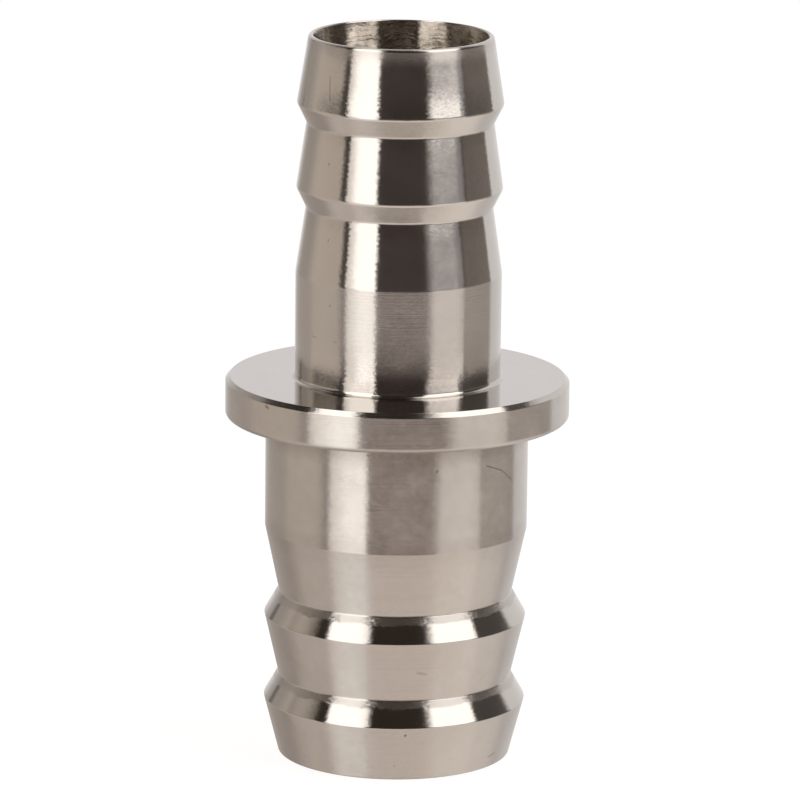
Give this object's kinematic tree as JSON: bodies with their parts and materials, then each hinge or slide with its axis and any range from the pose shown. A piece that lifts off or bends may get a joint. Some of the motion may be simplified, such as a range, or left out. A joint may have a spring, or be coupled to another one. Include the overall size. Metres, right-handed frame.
{
  "type": "hose barb tail",
  "caption": "Straight reducing hose tail: a plain flange between a small and a large barbed end, bored right through, to join hoses of different bore.",
  "frame": {"origin": "centre of the large tail's end face, on which the part stands", "axes": "+Z along the axis of revolution, from the large tail's end to the small tail's end"},
  "size_m": [0.035, 0.035, 0.0744],
  "materials": {
    "turned_steel": "bare stainless steel as turned: bright cones and flange face, satin shanks with fine turning marks"
  },
  "bodies": {
    "root": {"hose_barb_tail": "turned_steel"}
  },
  "joints": []
}
